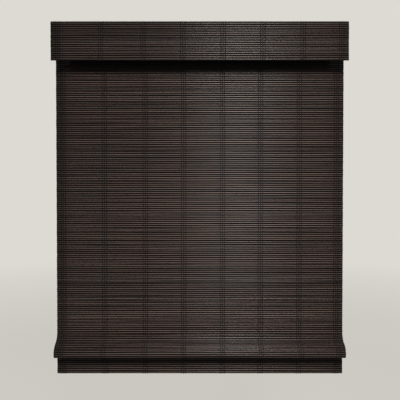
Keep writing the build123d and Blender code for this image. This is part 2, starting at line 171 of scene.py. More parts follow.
# %% Put arrays into a mesh
def new_piece(name, points, face_groups, body, replaced=(), flat_groups=(), **attributes):
    """Mesh object from points and groups of faces, each group an array with one row for a face.
    Faces are smooth, apart from the flat_groups, and each attribute has one value for a point."""
    groups = [*face_groups, *flat_groups]
    sizes = np.concatenate([np.full(len(group), group.shape[1]) for group in groups])
    smooth = np.zeros(len(sizes), dtype=bool)
    smooth[: sum(len(group) for group in face_groups)] = True
    corners = np.concatenate([group.ravel() for group in groups]).astype(np.int32)
    mesh = bpy.data.meshes.new(name)
    mesh.vertices.add(len(points))
    mesh.vertices.foreach_set("co", np.asarray(points, dtype=np.float32).ravel())
    mesh.loops.add(len(corners))
    mesh.loops.foreach_set("vertex_index", corners)
    mesh.polygons.add(len(sizes))
    starts = np.concatenate(([0], np.cumsum(sizes)[:-1])).astype(np.int32)
    mesh.polygons.foreach_set("loop_start", starts)
    mesh.polygons.foreach_set("use_smooth", smooth)
    mesh.update(calc_edges=True)
    for key, values in attributes.items():
        kind, field = ("FLOAT_VECTOR", "vector") if values.ndim > 1 else ("FLOAT", "value")
        layer = mesh.attributes.new(key, kind, "POINT")
        layer.data.foreach_set(field, values.astype(np.float32).ravel())
    mesh.validate()
    piece = bpy.data.objects.new(name, mesh)
    bpy.context.collection.objects.link(piece)
    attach(piece, body)
    if replaced:
        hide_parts(*replaced)
    print(name, len(points), "points", int((sizes - 2).sum()), "triangles")
    return piece


print("meshes before the first piece:", len(bpy.data.meshes))

# %% [markdown]
# Slats, threads, knots and rings are all tubes: sections strung along a path. Blender could skin
# them from curves, but then the points would lie where Blender puts them. With the points in a
# known order, the faces are only sums of point numbers, and one helper makes them for every kind
# of tube.

# %% Faces of tubes
def tube_faces(tubes, stations, around, looped=False):
    """Faces of tubes, whose points run tube by tube, station by station and round each section:
    quads between neighbouring stations, and one many-sided face at each end. A looped tube joins
    its last station to its first and has no ends."""
    lengths = stations if looped else stations - 1
    tube, station, side = np.meshgrid(
        np.arange(tubes), np.arange(lengths), np.arange(around), indexing="ij"
    )
    ahead = (side + 1) % around
    here = (tube * stations + station) * around
    there = (tube * stations + (station + 1) % stations) * around
    corners = [here + side, there + side, there + ahead, here + ahead]
    quads = np.stack(corners, axis=-1).reshape(-1, 4)
    first = np.arange(tubes)[:, None] * stations * around + np.arange(around)
    last = first[:, ::-1] + (stations - 1) * around
    return [quads], [] if looped else [first, last]


sides, ends = tube_faces(1, 3, 4)
print("a square tube of 3 stations has", len(sides[0]), "sides and", len(ends), "ends")

# %% [markdown]
# A slat is a strip of split bamboo, never quite like its neighbour, with a low ridge at each
# knuckle of the cane. One slat could be modelled and copied, but copies look printed. Here every
# slat is one row of the same grid, so its length and knuckles are drawn for it alone, and all
# slats are worked out together. The stations along a slat are spread evenly, with a few more
# about each knuckle.

# %% Stations along the slats
PLAIN_STATIONS = 17
KNUCKLES = 2
KNUCKLE_SPAN = 0.92
KNUCKLE_OFFSETS = np.array([-0.0075, -0.003, 0.0, 0.003, 0.0075])
KNUCKLE_REACH = 0.0032
END_SPREAD = 0.0006


def slat_stations(count):
    """X of the stations along each slat, and the height there of the knuckles' ridges, from 0 to 1.
    A ridge is a bell curve: e to the power of minus the square of distance over reach."""
    length = half_width + draw.uniform(-END_SPREAD, 0, (count, 2))
    knuckle_x = draw.uniform(-KNUCKLE_SPAN, KNUCKLE_SPAN, (count, KNUCKLES)) * half_width
    plain = np.linspace(0, 1, PLAIN_STATIONS)
    plain_x = -length[:, :1] + plain * length.sum(axis=1, keepdims=True)
    clusters = (knuckle_x[:, :, None] + KNUCKLE_OFFSETS).reshape(count, -1)
    x = np.sort(np.concatenate([plain_x, clusters], axis=1), axis=1)
    away = (x[:, :, None] - knuckle_x[:, None, :]) / KNUCKLE_REACH
    return x, np.exp(-(away**2)).sum(axis=2)


print("a slat has", PLAIN_STATIONS + KNUCKLES * len(KNUCKLE_OFFSETS), "stations along it")

# %% [markdown]
# Across, a slat is rounded, high in front and low behind, and a little wider than its place, so
# that neighbours press on each other and no light comes through. It is also a little crooked.
# Noise could shake the points, but that gives dents. One slow sine for each trait of each slat,
# with turns, phase and height drawn for it, gives the long bends of real cane.

# %% Sections across the slats
PRESS = 0.00012
SECTION_POINTS = 16
FRONT_CROWN = 0.0015
BACK_CROWN = 0.0005
KNUCKLE_RISE = 0.00016
WIDTH_SPREAD = 0.003
THICKNESS_SPREAD = 0.06
TWIST_SPREAD = math.radians(1.2)
BOW_ACROSS = 0.00002
BOW_OUT = 0.0001
WAVE_TURNS = (1.5, 5.0)
WAVE_LIMIT = 2.0

section = np.arange(SECTION_POINTS) / SECTION_POINTS * math.tau


def wave(x, size):
    """A sine along each slat: size * height * sin(turns * x / half width + phase)."""
    turns = draw.uniform(*WAVE_TURNS, (len(x), 1))
    phase = draw.uniform(0, math.tau, (len(x), 1))
    height = np.clip(draw.normal(0, 1, (len(x), 1)), -WAVE_LIMIT, WAVE_LIMIT)
    return size * height * np.sin(turns * x / half_width + phase)


def slat_sections(x, knuckle):
    """Sections of the slats at their stations: u = a cos t along the mat and v = b sin t out of it,
    then turned by the twist and moved by the bow. a is a little over half the pitch, and b is the
    crown, three times as high in front as behind, and higher at a knuckle."""
    half_a = (SLAT_PITCH / 2 + PRESS) * (1 - np.abs(wave(x, WIDTH_SPREAD)))
    crown = 1 - np.abs(wave(x, THICKNESS_SPREAD))
    twist = wave(x, TWIST_SPREAD)[:, :, None]
    bow_u = wave(x, BOW_ACROSS)[:, :, None]
    bow_v = wave(x, BOW_OUT)[:, :, None]
    half_b = np.where(np.sin(section) > 0, FRONT_CROWN, BACK_CROWN)
    flat_u = half_a[:, :, None] * np.cos(section)
    flat_v = (crown[:, :, None] * half_b + KNUCKLE_RISE * knuckle[:, :, None]) * np.sin(section)
    flat_v += (BACK_CROWN - FRONT_CROWN) / 2
    u = flat_u * np.cos(twist) - flat_v * np.sin(twist) + bow_u
    v = flat_u * np.sin(twist) + flat_v * np.cos(twist) + bow_v
    return u, v


print("a section has", SECTION_POINTS, "points and is", 2 * (SLAT_PITCH / 2 + PRESS), "m wide")

# %% [markdown]
# Now the sections are laid on a line, one slat to each pitch. The finish will need to know where
# a point is on its own slat, which it could guess from its place in the room, but then the grain
# would run on from slat to slat. So the grid also gives each point its distance along and round
# the slat, a seed, two drawn tones, and how far up a knuckle it is. The last number is the
# distance from a band along the slat, above its middle, where the slat is painted lightest. In
# part the stain is thin there, since wet stain runs down. In part it is painted light: the band
# sits on the upper side, which light from above reaches, where the lamp's highlight falls, and
# the slat is painted darker away from it.

# %% Slats on a line
# Place of the thin-stain lit band. Each slat is painted lightest there, above its middle. This is partly thin
# stain and partly painted light from above, raised to where the lamp's highlight falls.
THIN_STAIN_LIT_BAND_RISE = 0.4
THIN_STAIN_LIT_BAND_SPREAD = 0.22
THIN_STAIN_LIT_BAND_DRIFT = 0.15
THIN_STAIN_LIT_BAND_TURNS = 6.0


def slat_grid(line, first_row, last_row):
    """Points of slats along a line, and their attributes. A point is the slat's place on the line,
    plus u in the direction of the line and v square to it. The thin-stain lit band, where a slat is
    painted lightest, lies at cos t = -thin_stain_lit_rise, which has its own mean for each slat and
    drifts along it as a sine."""
    rows = np.arange(first_row, last_row)
    count = len(rows)
    x, knuckle = slat_stations(count)
    u, v = slat_sections(x, knuckle)
    y, z, lean = (values[:, None, None] for values in on_line(line, (rows + 0.5) * SLAT_PITCH))
    points = np.empty(u.shape + (3,))
    points[..., 0] = x[:, :, None]
    points[..., 1] = y - u * np.sin(lean) - v * np.cos(lean)
    points[..., 2] = z - u * np.cos(lean) + v * np.sin(lean)

    whole = np.ones_like(u)
    seed = draw.uniform(0, 1, (count, 1, 1)) * whole
    step_u, step_v = (np.diff(values, axis=2, prepend=values[:, :, :1]) for values in (u, v))
    girth = np.cumsum(np.hypot(step_u, step_v), axis=2)
    thin_stain_lit_drift = np.sin(THIN_STAIN_LIT_BAND_TURNS * x[:, :, None] / half_width + math.tau * seed)
    thin_stain_lit_rise = THIN_STAIN_LIT_BAND_RISE + THIN_STAIN_LIT_BAND_SPREAD * (2 * seed - 1) + THIN_STAIN_LIT_BAND_DRIFT * thin_stain_lit_drift
    attributes = {
        "grain": np.stack([points[..., 0], girth, seed], axis=-1).reshape(-1, 3),
        "tone": (draw.uniform(0, 1, (count, 1, 1)) * whole).ravel(),
        "warmth": (draw.uniform(0, 1, (count, 1, 1)) * whole).ravel(),
        "thin_stain_lit_band": (np.cos(section) + thin_stain_lit_rise).ravel(),
        "knuckle": (knuckle[:, :, None] * whole).ravel(),
    }
    return points.reshape(-1, 3), u.shape, attributes


def slat_piece(name, line, first_row, last_row, body, node):
    """Slats from first_row up to last_row of a line, in the place of a packed node."""
    points, shape, attributes = slat_grid(line, first_row, last_row)
    sides, ends = tube_faces(*shape)
    return new_piece(name, points, sides, body, [node], ends, **attributes)


print("the valance takes", VALANCE_ROWS, "slats and the mat", MAT_ROWS)

# %% [markdown]
# On the real shade the mat is one length. It hangs from the tape on the headrail, its middle
# gathers when the bottom bar is raised, and its fold and tail go up with the bar. A mesh can
# follow only one of these, so the mat is built in three stretches that meet between two slats:
# the head and the hanging stretch hang from the headrail, and the fold rides on the bottom bar.

# %% Mat and valance slats
HEAD_ROWS = 4
HANG_ROWS = 136
HEAD_BODY = "headrail_frame"
BAR_BODY = "bottom_rail"

lift_joint = next(joint for joint in frame["joints"] if joint["name"] == "lift")
lift_travel = max(lift_joint["range_m"])
hang_length = (HANG_ROWS - HEAD_ROWS) * SLAT_PITCH
gathered_share = 1 - lift_travel / hang_length

mat_head = slat_piece("mat_head_slats", mat_line, 0, HEAD_ROWS, HEAD_BODY, "shade_mat")
mat_hang = slat_piece("mat_hanging_slats", mat_line, HEAD_ROWS, HANG_ROWS, HEAD_BODY, "shade_mat")
mat_fold = slat_piece("mat_fold_slats", mat_line, HANG_ROWS, MAT_ROWS, BAR_BODY, "shade_mat")
valance_mat = slat_piece("valance_slats", valance_line, 0, VALANCE_ROWS, HEAD_BODY, "valance")


def gather(piece):
    """Give a hanging piece a mesh of its own, which no other piece shares."""
    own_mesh(piece)


gather(mat_hang)
print("gathered to", round(gathered_share, 4), "of its length")

# %% [markdown]
# Dark cotton threads weave down through the slats, in groups of three lines. At each line one
# thread passes in front of a slat while its partner passes behind it, and they change places
# below it. A thread could be a curve with a round bevel, but real thread is flat where it lies
# on a slat. So the path is a sine along the slats, flattened until it dives only at the slat's
# edge, and an oval section is carried along it.

# %% Paths of the threads
THREAD_COLUMN_SHARES = np.array([0.023, 0.167, 0.309, 0.443, 0.578, 0.711, 0.846, 0.975])
THREAD_STEPS = np.array([-1, 0, 1])
THREAD_SPACING = 0.0068
THREAD_WIDTH = 0.0022
THREAD_THICKNESS = 0.0006
THREAD_LIFT_SHARE = 0.36
THREAD_LIFT = SLAT_THICKNESS / 2 + THREAD_THICKNESS * THREAD_LIFT_SHARE
THREAD_SWAY = 0.001
THREAD_POINTS = 6
STATION_SHARES = np.array([0.0, 0.24, 0.5, 0.76])
FLATTENING = 1.9

columns = (THREAD_COLUMN_SHARES - 0.5) * 2 * half_width
thread_x = (columns[:, None] + THREAD_STEPS * THREAD_SPACING).ravel()
strand_turn = np.arange(THREAD_POINTS) / THREAD_POINTS * math.tau


def thread_grid(line, first_row, last_row, places):
    """Points of two threads at each place. Out of the mat, a thread lies at lift * tanh(f sin t) /
    tanh(f), where t gains half a turn at each slat, and its partner at minus that. The section is
    an ellipse across X and across the thread's own path."""
    inner = (np.arange(first_row, last_row)[:, None] + STATION_SHARES).ravel()
    shares = np.append(inner, last_row)
    along = shares * SLAT_PITCH
    y, z, lean = on_line(line, along)
    phase = shares * math.pi
    swing = np.tanh(FLATTENING * np.sin(phase)) / math.tanh(FLATTENING)
    sides = np.tile([1.0, -1.0], len(places))[:, None]
    out = sides * THREAD_LIFT * swing
    x = np.repeat(places, 2)[:, None] + sides * THREAD_SWAY * np.cos(phase)
    path_y = y - out * np.cos(lean)
    path_z = z + out * np.sin(lean)
    run_y, run_z = np.gradient(path_y, axis=1), np.gradient(path_z, axis=1)
    run = np.hypot(run_y, run_z)
    across_y, across_z = run_z / run, -run_y / run
    wide = THREAD_WIDTH / 2 * np.cos(strand_turn)
    thick = THREAD_THICKNESS / 2 * np.sin(strand_turn)
    points = np.empty(x.shape + (THREAD_POINTS, 3))
    points[..., 0] = x[:, :, None] + wide
    points[..., 1] = path_y[:, :, None] + across_y[:, :, None] * thick
    points[..., 2] = path_z[:, :, None] + across_z[:, :, None] * thick
    twist = np.broadcast_to(along[None, :, None], points.shape[:3])
    side = np.broadcast_to(strand_turn / math.tau, points.shape[:3])
    seed = np.broadcast_to(draw.uniform(0, 1, (len(sides), 1, 1)), points.shape[:3])
    strand = np.stack([twist, side, seed], axis=-1)
    return points.reshape(-1, 3), points.shape[:3], strand.reshape(-1, 3)


print(len(thread_x), "lines of thread, in", len(columns), "groups")

# %% [markdown]
# A thread follows the slats that it binds, so the threads come in the same stretches as the mat.
# The hanging ones are split once more, into a left and a right half: one mesh could hold them
# all, but smaller pieces are easier to handle.

# %% Threads that weave through the slats
def thread_piece(name, line, first_row, last_row, places, body, node):
    """Threads at some places across a line, from first_row up to last_row."""
    points, shape, strand = thread_grid(line, first_row, last_row, places)
    sides, ends = tube_faces(*shape)
    return new_piece(name, points, sides, body, [node], ends, strand=strand)


def mat_threads(name, first_row, last_row, places, body):
    """Threads of one stretch of the mat."""
    return thread_piece(name, mat_line, first_row, last_row, places, body, "mat_threads")


left_x, right_x = thread_x[thread_x < 0], thread_x[thread_x >= 0]
threads = {
    "head": mat_threads("mat_head_threads", 0, HEAD_ROWS, thread_x, HEAD_BODY),
    "left": mat_threads("mat_left_threads", HEAD_ROWS, HANG_ROWS, left_x, HEAD_BODY),
    "right": mat_threads("mat_right_threads", HEAD_ROWS, HANG_ROWS, right_x, HEAD_BODY),
    "fold": mat_threads("mat_fold_threads", HANG_ROWS, MAT_ROWS, thread_x, BAR_BODY),
    "valance": thread_piece(
        "valance_weave_threads", valance_line, 0, VALANCE_ROWS, thread_x, HEAD_BODY,
        "valance_threads",
    ),
}
gather(threads["left"])
gather(threads["right"])

# %% [markdown]
# Below the last slat the two threads of a line are tied off in a small knot. A knot could be a
# loop of thread, but it is hardly larger than the thread is wide, so a short plump tube will do.

# %% Knots at the lower ends
KNOT_HALF = np.array([0.0011, 0.0010, 0.0016])
KNOT_SIZES = (0.8, 1.1)
KNOT_STATIONS = 7
KNOT_REACH = 1.5
KNOT_RISE = 0.0007
KNOT_OUT = 0.0009


def knot_piece(name, line, places, body, node):
    """A knot at each place, just in front of the line's lower end. It is an ellipsoid: tubes along
    Z whose section shrinks as the square root of 1 - h squared, with h from -1 to 1 up the knot."""
    height = np.sin(np.linspace(-KNOT_REACH, KNOT_REACH, KNOT_STATIONS))[:, None]
    girth = np.sqrt(1 - height**2)
    points = np.empty((len(places), KNOT_STATIONS, THREAD_POINTS, 3))
    size = draw.uniform(*KNOT_SIZES, (len(places), 1, 1))
    points[..., 0] = places[:, None, None] + size * KNOT_HALF[0] * girth * np.cos(strand_turn)
    points[..., 1] = line[1][-1] - KNOT_OUT + size * KNOT_HALF[1] * girth * np.sin(strand_turn)
    points[..., 2] = line[2][-1] + KNOT_RISE + size * KNOT_HALF[2] * height
    flat = points.reshape(-1, 3)
    strand = np.stack([flat[:, 2], flat[:, 0], 0 * flat[:, 0]], axis=-1)
    sides, ends = tube_faces(*points.shape[:3])
    return new_piece(name, flat, sides, body, [node], ends, strand=strand)


tail_knots = knot_piece("mat_tail_knots", mat_line, thread_x, BAR_BODY, "mat_threads")
valance_knots = knot_piece("valance_knots", valance_line, thread_x, HEAD_BODY, "valance_threads")

# %% [markdown]
# Plastic rings behind the mat guide the lift lines, and a few turns of thread sew each to a
# slat. Both could be Blender's torus, added ring by ring. But a ring is only a circle carried
# round a circle, and a stitch is the same on a smaller one, so one grid makes any number of
# either at once.

# %% Loops of wire
def looped_grid(middles, first, second, half_wide, half_deep, stations, around):
    """Points of loops about the middles. The loop is middle + cos t * first + sin t * second, and
    its wire is an ellipse with half_wide in the loop's plane and half_deep across it."""
    turn = np.arange(stations)[:, None] / stations * math.tau
    girth = np.arange(around) / around * math.tau
    normal = np.cross(first, second)
    normal = normal / np.linalg.norm(normal)
    swell = 1 + half_wide / np.linalg.norm(first) * np.cos(girth)
    flat = np.cos(turn)[..., None] * first + np.sin(turn)[..., None] * second
    loop = flat * swell[:, None] + half_deep * np.sin(girth)[:, None] * normal
    points = middles[:, None, None, :] + loop
    along = np.broadcast_to(turn * np.linalg.norm(first), points.shape[:3])
    side = np.broadcast_to(girth / math.tau, points.shape[:3])
    strand = np.stack([along, side, 0 * side], axis=-1)
    return points.reshape(-1, 3), points.shape[:3], strand.reshape(-1, 3)


trial = {"half_wide": 0.1, "half_deep": 0.1, "stations": 8, "around": 4}
trial_points = looped_grid(np.zeros((1, 3)), *np.eye(3)[:2], **trial)[0]
print("a loop of 1 m radius and 0.1 m wire reaches to", trial_points.max(axis=0).round(4))

# %% [markdown]
# The packed model has plain flat rings: four rows that go up with the gathering mat, and the
# rings of the fold. Moulded rings have a round wire, so round ones take their places. The boxes
# of the flat rings say where: they could be typed in again, but then they would not follow the
# model.

# %% Cord rings and their stitches
RING_RADIUS = 0.006
RING_WIRE = 0.0015
RING_HEIGHT = 0.0018
RING_STATIONS = 48
WIRE_POINTS = 12
STITCH_STEPS = np.array([-0.0011, 0.0, 0.0011])
STITCH_HALF = (0.0014, 0.0015)
STITCH_WIRE = 0.0004
STITCH_STATIONS = 16
RING_ROWS = 4
LEVEL_DIGITS = 5


def ring_pieces(node, body):
    """Round rings and their stitches in the place of one node of flat rings."""
    low, high = (np.array(corner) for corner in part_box(node))
    reach = high[0] - RING_RADIUS
    lowest, highest = low[2] + RING_HEIGHT / 2, high[2] - RING_HEIGHT / 2
    levels = np.unique(np.round([lowest, highest], LEVEL_DIGITS))
    across = np.array([-reach, 0, reach])
    middles = np.array([(x, (low[1] + high[1]) / 2, z) for z in levels for x in across])
    radius = RING_RADIUS - RING_WIRE / 2
    points, shape, _ = looped_grid(
        middles, np.array([radius, 0, 0]), np.array([0, radius, 0]), RING_WIRE / 2,
        RING_HEIGHT / 2, RING_STATIONS, WIRE_POINTS,
    )
    faces = tube_faces(*shape, looped=True)[0]
    ring = new_piece(f"round_{node}", points, faces, body, [node])
    sewn = middles[:, None, :] + STITCH_STEPS[:, None] * [1, 0, 0] - [0, radius, 0]
    points, shape, strand = looped_grid(
        sewn.reshape(-1, 3), np.array([0, STITCH_HALF[0], 0]), np.array([0, 0, STITCH_HALF[1]]),
        STITCH_WIRE, STITCH_WIRE, STITCH_STATIONS, THREAD_POINTS,
    )
    faces = tube_faces(*shape, looped=True)[0]
    stitch = new_piece(f"{node}_stitches", points, faces, body, strand=strand)
    return ring, stitch


ring_bodies = {f"ring_row_{row}": f"rings_{row}" for row in range(1, RING_ROWS + 1)}
ring_bodies["fold_rings"] = BAR_BODY
rings, stitches = zip(*[ring_pieces(node, body) for node, body in ring_bodies.items()])

# %% [markdown]
# The shader maths of the finishes is easier to read as plain sums. A wire stands for the output
# of a node. Adding or multiplying wires adds Math nodes, and one method adds any other kind of
# node: its settings first, and then its sockets, each a value or another wire.

# %% Wires for shader maths
class Wire:
    """One output socket of a material's node tree."""

    def __init__(self, tree, socket=None):
        self.tree = tree
        self.socket = socket

    def node(self, kind, settings=None, sockets=None, out=0):
        """Add a node of any kind, and give a wire from one of its outputs."""
        made = self.tree.nodes.new(kind)
        for name, value in (settings or {}).items():
            setattr(made, name, value)
        for name, value in (sockets or {}).items():
            if isinstance(value, Wire):
                self.tree.links.new(value.socket, made.inputs[name])
            else:
                made.inputs[name].default_value = value
        return Wire(self.tree, None if out is None else made.outputs[out])

    def maths(self, operation, first, second):
        """Add a Math node with two values or wires."""
        return self.node("ShaderNodeMath", {"operation": operation}, {0: first, 1: second})

    def __add__(self, other):
        return self.maths("ADD", self, other)

    def __mul__(self, other):
        return self.maths("MULTIPLY", self, other)


print("a wire has the methods", [name for name in vars(Wire) if not name.startswith("__")])

# %% [markdown]
# Every finish here is a mix of two shades by some pattern, held between limits. The shades are
# given as on a screen, since that is how a photo is read, and turned into the linear light that
# Blender works with. The patterns are scattered cells and noise, which is even or drawn out along
# the grain. A noise has a detail, the number of finer layers it adds, and a roughness, the strength
# of each layer; its values lie mostly in the middle of the range from 0 to 1.

# %% Shades and patterns
FINE_NOISE = (3.0, 0.6)
SOFT_NOISE = (2.0, 0.5)
NOISE_RANGE = (0.3, 0.7)
SHARE_INPUT, FIRST_INPUT, SECOND_INPUT, COLOUR_OUTPUT = 0, 6, 7, 2


def shade(red, green, blue):
    """Linear colour of a shade given as on a screen, from 0 to 255, by the standard curve."""
    screen = np.array([red, green, blue]) / 255
    linear = np.where(screen <= 0.04045, screen / 12.92, ((screen + 0.055) / 1.055) ** 2.4)
    return (*linear.tolist(), 1.0)


def blend(wire, share, first, second):
    """Mix two colours by a share. Several sockets of a Mix node have the same name, so those for
    colours are found by number."""
    sockets = {SHARE_INPUT: share, FIRST_INPUT: first, SECOND_INPUT: second}
    return wire.node("ShaderNodeMix", {"data_type": "RGBA"}, sockets, COLOUR_OUTPUT)


def noise(wire, vector, scale, detail, roughness):
    """Noise with one scale in all directions."""
    sockets = {"Vector": vector, "Scale": scale, "Detail": detail, "Roughness": roughness}
    return wire.node("ShaderNodeTexNoise", None, sockets)


def drawn_noise(wire, vector, scales, detail, roughness):
    """Noise with a scale of its own along each axis."""
    sockets = {0: vector, 1: scales}
    stretched = wire.node("ShaderNodeVectorMath", {"operation": "MULTIPLY"}, sockets)
    return noise(wire, stretched, 1.0, detail, roughness)


def cells(wire, vector, scale):
    """Distance from the middle of the nearest of many scattered cells."""
    return wire.node("ShaderNodeTexVoronoi", None, {"Vector": vector, "Scale": scale})


def limits(wire, value, low, high, to_low=0.0, to_high=1.0):
    """Move a value's range from low..high to another, and hold it there."""
    ends = {"From Min": low, "From Max": high, "To Min": to_low, "To Max": to_high}
    return wire.node("ShaderNodeMapRange", {"clamp": True}, {"Value": value, **ends})


def place_on(wire):
    """Place in the frame, in metres."""
    return wire.node("ShaderNodeTexCoord", None, None, out="Object")


def attribute(wire, name, out="Fac"):
    """Values stored beside the points of a mesh."""
    return wire.node("ShaderNodeAttribute", {"attribute_name": name}, None, out)


print("half of a screen's range is", round(shade(128, 128, 128)[0], 3), "in linear light")

# %% [markdown]
# A material is made the same way for every finish: one Principled shader, whose plain values are
# set on its sockets, while what varies over the surface comes in as wires. Fine relief could be
# modelled, but a bump is enough for grain, twist and skin, most of them a tenth of a millimetre
# deep or less.

# %% A new finish
def new_finish(name, paint, **fixed):
    """Material with one shader. paint gets a wire and gives what varies over the surface; fixed
    values go straight to the shader's sockets."""
    material = bpy.data.materials.new(name)
    material.use_nodes = True
    tree = material.node_tree
    shader = tree.nodes["Principled BSDF"]
    for key, value in fixed.items():
        shader.inputs[key.replace("_", " ")].default_value = value
    varied = paint(Wire(tree))
    height, distance, strength = varied.pop("Height")
    sockets = {"Height": height, "Distance": distance, "Strength": strength}
    varied["Normal"] = Wire(tree).node("ShaderNodeBump", None, sockets)
    for key, wire in varied.items():
        tree.links.new(wire.socket, shader.inputs[key])
    print("finish", name, len(tree.nodes), "nodes")
    return material


print("materials before the first finish:", len(bpy.data.materials))

# %% [markdown]
# The slats are stained a dark espresso, and the stain shows the cane below it. Fibres run along
# each slat, some slats took more stain than others, a few are greyer or redder, and the stain is
# thick round the knuckles. Each slat is painted darkest at its edges, where two slats meet, and
# on its lower side. This is partly pooled stain and partly painted shade in the grooves and under
# the slats, where light from above does not reach. A picture of bamboo would repeat. Here the
# pattern is read from the slat's own attributes: its scales are for the distance along the slat,
# the distance round it and the seed, so that each slat gets a piece of noise of its own.

# %% Stained bamboo
FIBRE_SCALE = (7.0, 2400.0, 61.0)
STREAK_SCALE = (2.5, 620.0, 23.0)
PATCH_SCALE = (5.0, 40.0, 87.0)
BROWN_CANE = shade(50, 40, 36), shade(110, 93, 86)
GREY_CANE = shade(48, 42, 40), shade(105, 96, 92)
KNUCKLE_STAIN = shade(24, 18, 15)
# Near-black for the edges of each slat: part pooled stain, part painted shade in the grooves between slats and on
# their lower sides.
POOLED_STAIN_AND_SHADE = shade(14, 8, 7)
FIBRE_WEIGHT, STREAK_WEIGHT, PATCH_WEIGHT, TONE_WEIGHT = 0.35, 0.4, 0.3, 0.2
CANE_LIGHT = (0.4, 0.86)
WARMTH_WEIGHT, WARM_PATCH_WEIGHT = 0.4, 0.8
CANE_REDNESS = (0.35, 0.85)
KNUCKLE_EDGES, KNUCKLE_DEPTH = (0.25, 1.0), (0.0, 0.45)
# Where the painted darkening of stain and shade starts away from the lit band, and how deep it goes.
STAIN_AND_SHADE_EDGES, STAIN_AND_SHADE_DEPTH = (0.08, 0.46), (0.0, 0.97)
FIBRE_RANGE, BAMBOO_ROUGHNESS = (0.3, 0.75), (0.23, 0.28)
FIBRE_HEIGHT, STREAK_HEIGHT = 0.6, 0.4
BAMBOO_BUMP = (0.0001, 0.15)
BAMBOO_SHINE = 0.075


def bamboo_paint(wire):
    grain = attribute(wire, "grain", out="Vector")
    fibres = drawn_noise(wire, grain, FIBRE_SCALE, *FINE_NOISE)
    streaks = drawn_noise(wire, grain, STREAK_SCALE, *SOFT_NOISE)
    patches = drawn_noise(wire, grain, PATCH_SCALE, *SOFT_NOISE)
    tone = attribute(wire, "tone")
    warmth = attribute(wire, "warmth")
    fine = fibres * FIBRE_WEIGHT + streaks * STREAK_WEIGHT
    light = limits(wire, fine + patches * PATCH_WEIGHT + tone * TONE_WEIGHT, *CANE_LIGHT)
    warm = warmth * WARMTH_WEIGHT + patches * WARM_PATCH_WEIGHT
    redness = limits(wire, warm, *CANE_REDNESS)
    brown = blend(wire, light, *BROWN_CANE)
    cane = blend(wire, redness, blend(wire, light, *GREY_CANE), brown)
    ringing = limits(wire, attribute(wire, "knuckle"), *KNUCKLE_EDGES, *KNUCKLE_DEPTH)
    # Painted darker away from the lit band: pooled stain, and painted shade where slats meet and on their
    # undersides.
    off_thin_stain_lit_band = wire.maths("ABSOLUTE", attribute(wire, "thin_stain_lit_band"), 0.0)
    stain_and_shade_darkening = limits(wire, off_thin_stain_lit_band, *STAIN_AND_SHADE_EDGES, *STAIN_AND_SHADE_DEPTH)
    ringed = blend(wire, ringing, cane, KNUCKLE_STAIN)
    return {
        "Base Color": blend(wire, stain_and_shade_darkening, ringed, POOLED_STAIN_AND_SHADE),
        "Roughness": limits(wire, fibres, *FIBRE_RANGE, *BAMBOO_ROUGHNESS),
        "Height": (fibres * FIBRE_HEIGHT + streaks * STREAK_HEIGHT, *BAMBOO_BUMP),
    }


bamboo = new_finish("stained_bamboo", bamboo_paint, Specular_IOR_Level=BAMBOO_SHINE)

# %% [markdown]
# The threads are twisted cotton, dyed almost black. The twist could be modelled, but at this
# size a bump of slanted ridges is enough: a sine of the distance along the thread plus the way
# round it.

# %% Twisted cotton
RIDGES_ALONG = 4200.0
RIDGES_ROUND = 2.0
FUZZ_SCALE = (900.0, 9.0, 50.0)
DYED_COTTON = shade(6, 4, 4), shade(18, 14, 12)
RIDGE_WEIGHT = 0.25
COTTON_LIGHT = (0.2, 0.95)
COTTON_ROUGHNESS = (0.78, 0.95)
RIDGE_HEIGHT = 0.5
COTTON_BUMP = (0.00012, 0.8)
COTTON_SHINE = 0.2


def cotton_paint(wire):
    strand = attribute(wire, "strand", out="Vector")
    along = wire.node("ShaderNodeSeparateXYZ", None, {"Vector": strand}, out="X")
    side = wire.node("ShaderNodeSeparateXYZ", None, {"Vector": strand}, out="Y")
    slant = along * RIDGES_ALONG + side * math.tau * RIDGES_ROUND
    ridges = wire.maths("SINE", slant, 0.0)
    fuzz = drawn_noise(wire, strand, FUZZ_SCALE, *FINE_NOISE)
    light = limits(wire, ridges * RIDGE_WEIGHT + fuzz, *COTTON_LIGHT)
    return {
        "Base Color": blend(wire, light, *DYED_COTTON),
        "Roughness": limits(wire, fuzz, *NOISE_RANGE, *COTTON_ROUGHNESS),
        "Height": (ridges * RIDGE_HEIGHT + fuzz, *COTTON_BUMP),
    }


cotton = new_finish("twisted_cotton", cotton_paint, Specular_IOR_Level=COTTON_SHINE)
for piece in (mat_head, mat_hang, mat_fold, valance_mat):
    piece.data.materials.append(bamboo)
for piece in (*threads.values(), tail_knots, valance_knots, *stitches):
    piece.data.materials.append(cotton)

# %% [markdown]
# The mat and the valance are flexible sheets, so each stretch prints how large it was before it
# was hung. The flat size could be measured on the mesh, but bends make that hard; the number of
# slats times their pitch is exact.

def declare(piece, rows):
    """Print that a piece is a sheet of so many slats, and its flat length."""
    print(piece.name, "is a sheet of", rows, "slats,", round(rows * SLAT_PITCH, 4), "m long")


declare(mat_head, HEAD_ROWS)
declare(mat_hang, HANG_ROWS - HEAD_ROWS)
declare(mat_fold, MAT_ROWS - HANG_ROWS)
declare(valance_mat, VALANCE_ROWS)

# %% [markdown]
# The hidden gear keeps the shapes of the packed model and gets finishes only. They read Object
# coordinates, which are the frame's own metres, so a pattern is as large on one piece as on
# another. The headrail is drawn aluminium, and the die leaves fine lines along it: noise
# stretched along X. Brackets, shaft and spring are zinc-plated steel, whose crystals show as
# cells, as Voronoi makes them. A picture of metal could do both, but it would need every piece
# to be unwrapped first.

